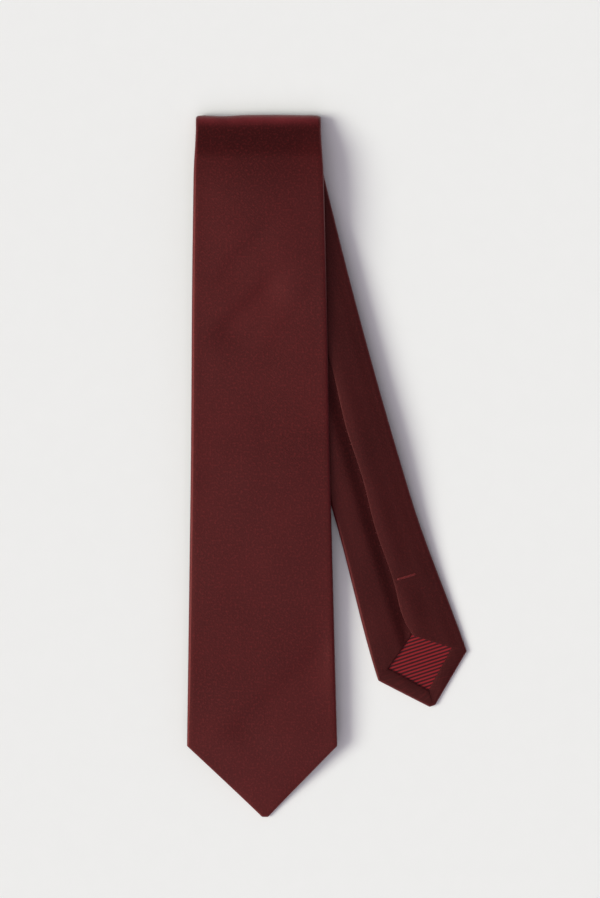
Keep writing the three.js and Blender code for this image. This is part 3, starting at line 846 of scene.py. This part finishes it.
def finish_piece(obj, material, slot, nodes, body=None, joint=None):
    """Gives a piece its looks, hides the CAD nodes it stands for, and lets it ride on a body; with a joint
    it only bakes the piece's placement into its mesh.
    """
    obj.data.materials.append(material)
    if joint:
        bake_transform(obj)
    else:
        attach(obj, body)
    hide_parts(*nodes)


def metres(*point):
    return tuple(v * MM for v in point)


def steps(start, end, spacing):
    return np.linspace(start, end, max(2, int(abs(end - start) / spacing) + 1))


ROUTE_SPLIT_Y = 150
BLADE = BladeRoute(ROUTE_SPLIT_Y)

# Stretches of cloth that cross between two bodies, from one point to another; finish_piece uses them only to
# bake a piece's placement
OVER_OUTER_FOLD = (
    "neckband", "front_blade", metres(0, ROUTE_SPLIT_Y, BAND), metres(0, ROUTE_SPLIT_Y - 1, 12.6),
)
OVER_INNER_FOLD = ("neckband", "tail_head", metres(0, 0, 7), metres(0, 0, 9))
OVER_FAN = ("tail_head", "tail", *(
    metres(*place_tail(TAIL_LENGTH - d, 0, 0)[:2], 0) for d in (FAN_START, FAN_END)
))


def blade_rows():
    top = BLADE_END["flaps"] + 8
    crest = BLADE.crest
    parts = [steps(top, crest - 30, 2.5), steps(crest - 30, crest - 9, 1.2)[1:]]
    parts += [steps(crest - 9, crest + 8, 0.6)[1:], steps(crest + 8, BLADE.length, 2.5)[1:]]
    return top, np.concatenate(parts)


def make_blade():
    """The blade's shell, and the soft outer fold. A painted highlight lightens its crest."""
    # Painted highlight in a band just below the crest, standing for the satin's sheen there.
    def crest_highlight(s, u):
        return 1.7 * bump(s, BLADE.crest - 6, 3.4) * (1 + 0.5 * drift(s, u, 9, 2.2))

    lift = uneven(0.2, 0.1, 22, 7.5)
    band = Band(BLADE.half, blade_radius, blade_swell(BLADE), lift, face_highlight=crest_highlight)
    sheet = Sheet()
    top, rows = blade_rows()
    run_grids(sheet, band, rows)
    end_grids(sheet, band, BLADE_END, top)
    obj = cloth("blade_cloth", sheet, BLADE.place)
    nodes = ("blade_shell", "outer_fold_shell_upper", "outer_fold_shell_lower")
    finish_piece(obj, SATIN, "satin", nodes, joint=OVER_OUTER_FOLD)


def make_blade_inside():
    """The blade's interlining, which lies deeper under the face's creases."""
    swell = blade_swell(BLADE)

    def under_creases(s, u):
        return 0.55 - np.minimum(swell(s, u), 0) + 0.05 * drift(s, u, 12, 8.5)

    fold_end = BLADE.crest + 10
    rows = np.concatenate([steps(6, 330, 3), steps(330, fold_end, 1.5)[1:], [BLADE.length]])
    half = np.minimum(BLADE.half(rows), TIP_HALF + rows) - WOOL_MARGIN
    obj = slab(
        "blade_interlining_cloth", BLADE.place, rows, -half, half, under_creases,
        POINT_WOOL_THICKNESS, columns=30,
    )
    nodes = ("blade_interlining", "outer_fold_interlining_upper", "outer_fold_interlining_lower")
    finish_piece(obj, WOOL, "interlining_wool", nodes, joint=OVER_OUTER_FOLD)


def make_tipping(name, place, half, end, node, body, seed, level):
    """The striped lining under the hems and flaps of a pointed end."""
    top = end["flaps"] + 12
    rows = steps(end["hem"] - 5, top, 1.2)
    slant = TIP_HALF + (half(end["shoulder"]) - TIP_HALF) * rows / end["shoulder"]
    edge = np.minimum(half(rows), slant) - TIPPING_MARGIN
    surface = uneven(level, 0.12, 9, seed)
    obj = slab(name, place, rows, -edge, edge, surface, TIPPING_THICKNESS, columns=40)
    finish_piece(obj, LINING, "striped_lining", (node,), body=body)


def skewed(place, half, start, end, start_slope, end_slope):
    """The same stretch of a run with its ends cut on a slant."""
    def placed(s, u, n):
        t = (s - start) / (end - start)
        slanted = lerp(start + start_slope * u, end + end_slope * u, t)
        return place(slanted, u * half(slanted) / half(s), n)
    return placed


def make_neck_pieces():
    """The lower run from where the blade's cloth ends, the neck and the upper run, cut on slants."""
    def swell(s, u):
        return 0.12 * drift(s, u, 24, 6.5) * smooth(s, RUN_LENGTH, RUN_LENGTH + 12)

    band = Band(neck_half, always(EDGE_RADIUS), swell, uneven(0.2, 0.12, 18, 3.5))
    start = TOP_Y - ROUTE_SPLIT_Y
    seam_low = LOWER_SEAM + TOP_Y - OUTER_FOLD_Y
    seam_high = UPPER_RUN_START + UPPER_SEAM
    top = UPPER_RUN_START + UPPER_RUN_LENGTH
    skew = tan(CREASE_SKEW)
    fold = steps(RUN_LENGTH - 2, UPPER_RUN_START + 2, 0.6)
    lower, upper = steps(start, seam_low, 3), steps(seam_high, top, 3)
    neck = np.concatenate([steps(seam_low, fold[0], 3), fold[1:-1], steps(fold[-1], seam_high, 3)])
    stretches = [
        ("lower_run_cloth", "blade_shell_lower_run", lower, 0, 1, (0.125, 0.17)),
        ("neck_cloth", "neck_shell", neck, 1, 1, (0.1, 0.305)),
        ("upper_run_cloth", "tail_shell_upper_run", upper, 1, skew, (0.096, 0.152)),
    ]
    for name, node, rows, first, last, flat in stretches:
        sheet = Sheet()
        run_grids(sheet, band, rows)
        place = skewed(place_neck, neck_half, rows[0], rows[-1], first, last)
        obj = cloth(name, sheet, place)
        finish_piece(obj, SATIN, "satin", (node,), body="neckband")
    rows = np.concatenate([steps(start, fold[0], 6), fold[1:-1], steps(fold[-1], top, 6)])
    half = neck_half(rows) - WOOL_MARGIN
    place = skewed(place_neck, neck_half, rows[0], rows[-1], 0, skew)
    level = always(WOOL_LEVEL)
    obj = slab("neck_interlining_cloth", place, rows, -half, half, level, WOOL_THICKNESS)
    finish_piece(obj, WOOL, "interlining_wool", ("neck_interlining",), body="neckband")


def make_inner_fold():
    half = always(INNER_FOLD_HALF)
    sheet = Sheet()
    rows = np.linspace(0, 180, 31)
    run_grids(sheet, Band(half, always(EDGE_RADIUS)), rows)
    obj = cloth("inner_fold_cloth", sheet, place_inner_fold)
    nodes = ("inner_fold_shell_lower", "inner_fold_shell_upper")
    finish_piece(obj, SATIN, "satin", nodes, joint=OVER_INNER_FOLD)
    inside = half(rows) - WOOL_MARGIN
    level, thickness = always(WOOL_LEVEL), WOOL_THICKNESS
    obj = slab("inner_fold_interlining_cloth", place_inner_fold, rows, -inside, inside, level, thickness)
    nodes = ("inner_fold_interlining_lower", "inner_fold_interlining_upper")
    finish_piece(obj, WOOL, "interlining_wool", nodes, joint=OVER_INNER_FOLD)


def make_tail():
    """The tail's shell and interlining. Gives back where its points go, for the pieces sewn to it."""
    top = TAIL_END["flaps"] + 8
    slanted = skewed(place_tail, tail_half, top, TAIL_LENGTH, 0, -tan(CREASE_SKEW))

    def placed(s, u, n):
        return np.where((s > top)[..., None], slanted(s, u, n), place_tail(s, u, n))

    band = Band(tail_half, tail_radius, uneven(0, 0.04, 24, 9.5), tail_lift, tail_seam_edge)
    sheet = Sheet()
    run_grids(sheet, band, steps(top, TAIL_LENGTH, 2.0))
    end_grids(sheet, band, TAIL_END, top)
    obj = cloth("tail_cloth", sheet, placed)
    finish_piece(obj, TAIL_SATIN_SHADED, "satin", ("tail_head_shell", "tail_shell"), joint=OVER_FAN)
    rows = steps(6, TAIL_LENGTH, 5)
    half = np.minimum(tail_half(rows), TIP_HALF + rows) - WOOL_MARGIN
    level = uneven(0.5, 0.05, 12, 8.5)
    obj = slab("tail_interlining_cloth", placed, rows, -half, half, level, POINT_WOOL_THICKNESS)
    nodes = ("tail_head_interlining", "tail_interlining")
    finish_piece(obj, WOOL, "interlining_wool", nodes, joint=OVER_FAN)
    return placed


# ======== threads, loop and label


def tube(path, radius, sides=6):
    """Points and faces of a round thread along a path, in millimetres, with closed ends."""
    along = np.gradient(path, axis=0)
    along /= np.linalg.norm(along, axis=1, keepdims=True)
    steady = np.array([0.31, 0.17, 0.93])
    side = np.cross(along, steady)
    side /= np.linalg.norm(side, axis=1, keepdims=True)
    other = np.cross(along, side)
    turn = np.linspace(0, 2 * pi, sides, endpoint=False)
    out = np.cos(turn)[:, None] * side[:, None] + np.sin(turn)[:, None] * other[:, None]
    rings = path[:, None] + radius * out
    faces = [
        [i * sides + j, i * sides + (j + 1) % sides, (i + 1) * sides + (j + 1) % sides, (i + 1) * sides + j]
        for i in range(len(path) - 1) for j in range(sides)
    ]
    last = (len(path) - 1) * sides
    faces += [list(range(sides))[::-1], [last + j for j in range(sides)]]
    return rings.reshape(-1, 3), faces


def threads_object(name, paths, radius):
    points, faces, count = [], [], 0
    for path in paths:
        ring_points, ring_faces = tube(path, radius)
        points.append(ring_points)
        faces += [[v + count for v in face] for face in ring_faces]
        count += len(ring_points)
    xyz = np.concatenate(points)
    return mesh_object(name, xyz, faces, xyz[:, :2], np.zeros(len(xyz)))


def bar_tack(place, s, level, left, length):
    """Long stitches side by side, bound with one thread that winds round them."""
    paths = []
    t = np.linspace(0, 1, 24)
    for i in range(4):
        rise = 0.28 * np.sin(pi * t) ** 0.3 - 0.25 * (np.abs(2 * t - 1) > 0.93)
        paths.append(place(s + 0.22 * (i - 1.5) + 0 * t, left + length * t, level + rise))
    winds = 15
    t = np.linspace(0.06, 0.94, winds * 10)
    turn = 2 * pi * winds * t
    paths.append(place(s + 0.55 * np.cos(turn), left + length * t, level + 0.25 + 0.3 * np.sin(turn)))
    return paths


def slip_stitches(place, edge, height, start, end, pitch=7.0):
    """Short stitches that hold the right flap's turned edge down to the left flap."""
    paths = []
    t = np.linspace(0, 1, 8)
    for i, s in enumerate(np.arange(start, end, pitch)):
        low = height(s)
        out = edge(s) - 0.35 - 0.9 * t
        slant = 0.5 * (t - 0.5) * (1 if i % 2 else 0.7)
        paths.append(place(s + slant, out, low + 0.35 * (1 - t) + 0.12 * np.sin(pi * t)))
    return paths


def sew(name, node, paths, radius, material=THREAD, **rides):
    """Threads along paths, as one piece."""
    obj = threads_object(name, paths, radius)
    finish_piece(obj, material, "silk_thread", (node,), **rides)


def make_tacks(tail_placed):
    """The bar tacks that hold the ends of the tail's and the blade's centre seams."""
    paths = bar_tack(tail_placed, TAIL_TACK, BACK + 0.42, 1.3, 10.4)
    sew("tail_tack_thread", "tail_bar_tack", paths, TACK_THREAD_RADIUS, TACK_THREAD, body="tail")
    paths = bar_tack(BLADE.place, BLADE_TACK, BACK + 0.25, -0.7, 10)
    sew("blade_tack_thread", "blade_bar_tack", paths, TACK_THREAD_RADIUS, TACK_THREAD, body="front_blade")


def make_seam_stitches(tail_placed):
    """The slip stitches along the whole centre seam."""
    under = always(BACK - FLAP_SINK + 0.25)
    edge = always(RIGHT_FLAP_EDGE)
    upper = UPPER_RUN_START + 5
    for name, place, seam, start, end, rides in (
        ("tail", tail_placed, tail_seam_edge, 76, TAIL_LENGTH - 6, {"joint": OVER_FAN}),
        ("blade", BLADE.place, edge, 132, 330, {"body": "front_blade"}),
        ("lower_run", place_neck, edge, 40, RUN_LENGTH - 6, {"body": "neckband"}),
        ("upper_run", place_neck, edge, upper, upper + UPPER_RUN_LENGTH - 10, {"body": "neckband"}),
    ):
        paths = slip_stitches(place, seam, under, start, end)
        sew(f"{name}_seam_stitches", f"{name}_slip_stitch", paths, STITCH_THREAD_RADIUS, **rides)


def hem_stitch_paths(place, end, level, pitch=2.6):
    """Tiny stitches that catch the hems' inner edges to the tipping."""
    paths = []
    t = np.linspace(0, 1, 6)
    for side in (1, -1):
        for u in np.arange(2.5, end["hem_half"] - 3, pitch):
            s = end["hem"] + end["slope"] * u
            out = (t - 0.35) * 0.8
            across = side * (u - 0.69 * out)
            paths.append(place(s + 0.72 * out, across, level + 0.1 + 0.12 * np.sin(pi * t) - 0.28 * t))
    return paths


def make_hem_stitches(tail_placed):
    for name, place, end, body in (
        ("tail_hem_stitches", tail_placed, TAIL_END, "tail"),
        ("blade_hem_stitches", BLADE.place, BLADE_END, "front_blade"),
    ):
        obj = threads_object(name, hem_stitch_paths(place, end, 2 * TIP_RADIUS), HEM_THREAD_RADIUS)
        obj.data.materials.append(THREAD)
        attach(obj, body)


def strap(name, place, path_u, path_n, middle, width, thickness):
    """A flat strap across the band, with rounded edges: its path runs over u, and its width along s."""
    sheet = Sheet()
    turn = np.linspace(0, 2 * pi, 24, endpoint=False)
    half_width, half_thick = width / 2, thickness / 2
    out = np.sign(np.cos(turn)) * np.abs(np.cos(turn)) ** 0.4 * half_width
    up = np.sin(turn) * half_thick * np.minimum(1, 1.4 * (1 - (out / half_width) ** 8) + 0.35)
    out, up = np.append(out, out[0]), np.append(up, up[0])
    s = middle + out + 0 * path_u[:, None]
    n = path_n[:, None] + half_thick + up
    across = path_u[:, None] + 0 * s
    # The strap's rounded edges are lighter: partly wear, partly a painted sheen highlight.
    sheet.grid(s, across, n, across, np.abs(out / half_width) ** 6 * 0.6)
    points, faces = sheet.welded()
    ends = []
    for row in (0, -1):
        ring = np.where(np.abs(points[:, 1] - path_u[row]) < 1e-6)[0]
        above = points[ring, 2] - path_n[row] - half_thick
        angle = np.arctan2(above, (points[ring, 0] - middle) / half_width)
        order = [int(v) for v in ring[np.argsort(angle)]]
        ends.append(order if row == 0 else order[::-1])
    xyz = place(points[:, 0], points[:, 1], points[:, 2])
    return mesh_object(name, xyz, faces + ends, points[:, [3, 0]], points[:, 4])


def make_loop():
    """The keeper loop, a flat strap over the blade's back, and the stitches that hold its two ends."""
    u = np.linspace(-LOOP_REACH, LOOP_REACH, 60)
    inside = LOOP_REACH - np.abs(u)
    rise = 1.1 * smooth(inside, 3.5, 8) + 0.1 * drift(u, 0 * u, 9, 1.2)
    place = BLADE.place
    obj = strap("keeper_loop_cloth", place, u, BLADE_BACK + rise, LOOP_PLACE, LOOP_WIDTH, LOOP_THICKNESS)
    finish_piece(obj, SATIN, "satin", ("keeper_loop",), body="front_blade")
    t = np.linspace(0, 1, 14)
    for side, name in ((-1, "left"), (1, "right")):
        paths = []
        for i in range(5):
            s = LOOP_PLACE - 4.5 + 2.3 * i + 0.9 * t
            across = side * (LOOP_REACH - 2) + 0.5 * (i % 2) + 0 * t
            paths.append(place(s, across, BLADE_BACK + 0.72 + 0.22 * np.sin(pi * t)))
        sew(f"keeper_thread_{name}", f"keeper_tack_{name}", paths, LOOP_THREAD_RADIUS, body="front_blade")


def make_label():
    """A blank fibre label, sewn down at its two ends."""
    def tape(s, u):
        ends = 0.12 * bump(np.abs(u), LABEL_HALF - 0.6, 0.7)
        return BLADE_BACK + 0.3 - ends + 0.05 * drift(s, u, 6, 3.3)

    rows = np.linspace(LABEL_START, LABEL_END, 15)
    half = LABEL_HALF + 0 * rows
    obj = slab("label_tape_cloth", BLADE.place, rows, -half, half, tape, -0.28, columns=60)
    finish_piece(obj, TAPE, "label_tape", ("fibre_label",), body="front_blade")


# ======== table, light and camera


def make_table():
    mesh = bpy.data.meshes.new("table_top")
    corners = [(x * TABLE_REACH, y * TABLE_REACH, 0) for x, y in ((-1, -1), (1, -1), (1, 1), (-1, 1))]
    mesh.from_pydata(corners, [], [(0, 1, 2, 3)])
    table = add_object("table_top", mesh)
    table.location.z = -TABLE_DROP
    mesh.materials.append(table_top())


def soft_light(name, energy, size, tint, elevation, azimuth):
    """A light of a size in degrees, at an elevation, turned by azimuth from the left to the viewer."""
    sun = bpy.data.lights.new(name, "SUN")
    sun.energy = energy
    sun.angle = radians(size)
    sun.color = tint
    lamp = add_object(name, sun)
    lamp.rotation_euler = (0, radians(elevation - 90), radians(azimuth))


def make_light():
    """A soft key light from the left, a very large one in front on the left, and a dim room."""
    soft_light("key_softbox", energy=2.28, size=32, tint=(1.0, 1.05, 0.92), elevation=40, azimuth=8)
    soft_light("front_softbox", energy=1.28, size=80, tint=(1.0, 0.95, 1.03), elevation=60, azimuth=48)
    world = bpy.data.worlds.new("studio")
    world.use_nodes = True
    room = world.node_tree.nodes["Background"]
    room.inputs["Color"].default_value = ROOM_COLOUR
    room.inputs["Strength"].default_value = ROOM_STRENGTH
    bpy.context.scene.world = world


def make_camera():
    camera = bpy.data.cameras.new("overhead")
    camera.sensor_width = 36
    camera.lens = camera.sensor_width * (CAMERA_HEIGHT - 0.01) / VIEW_HEIGHT
    camera.clip_end = 20
    eye = add_object("overhead", camera)
    eye.location = (VIEW_CENTRE_X * MM, VIEW_CENTRE_Y * MM, CAMERA_HEIGHT)
    bpy.context.scene.camera = eye
    bpy.context.scene.view_settings.view_transform = "Standard"


make_camera()
make_light()
make_table()
make_blade()
make_blade_inside()
make_tipping(
    "blade_tipping_cloth", BLADE.place, BLADE.half, BLADE_END,
    "blade_tipping", "front_blade", 5.5, BLADE_TIPPING_LEVEL,
)
make_neck_pieces()
make_inner_fold()
tail_placed = make_tail()
make_tipping(
    "tail_tipping_cloth", tail_placed, tail_half, TAIL_END,
    "tail_tipping", "tail", 6.5, TAIL_TIPPING_LEVEL,
)
make_tacks(tail_placed)
make_seam_stitches(tail_placed)
make_hem_stitches(tail_placed)
make_loop()
make_label()
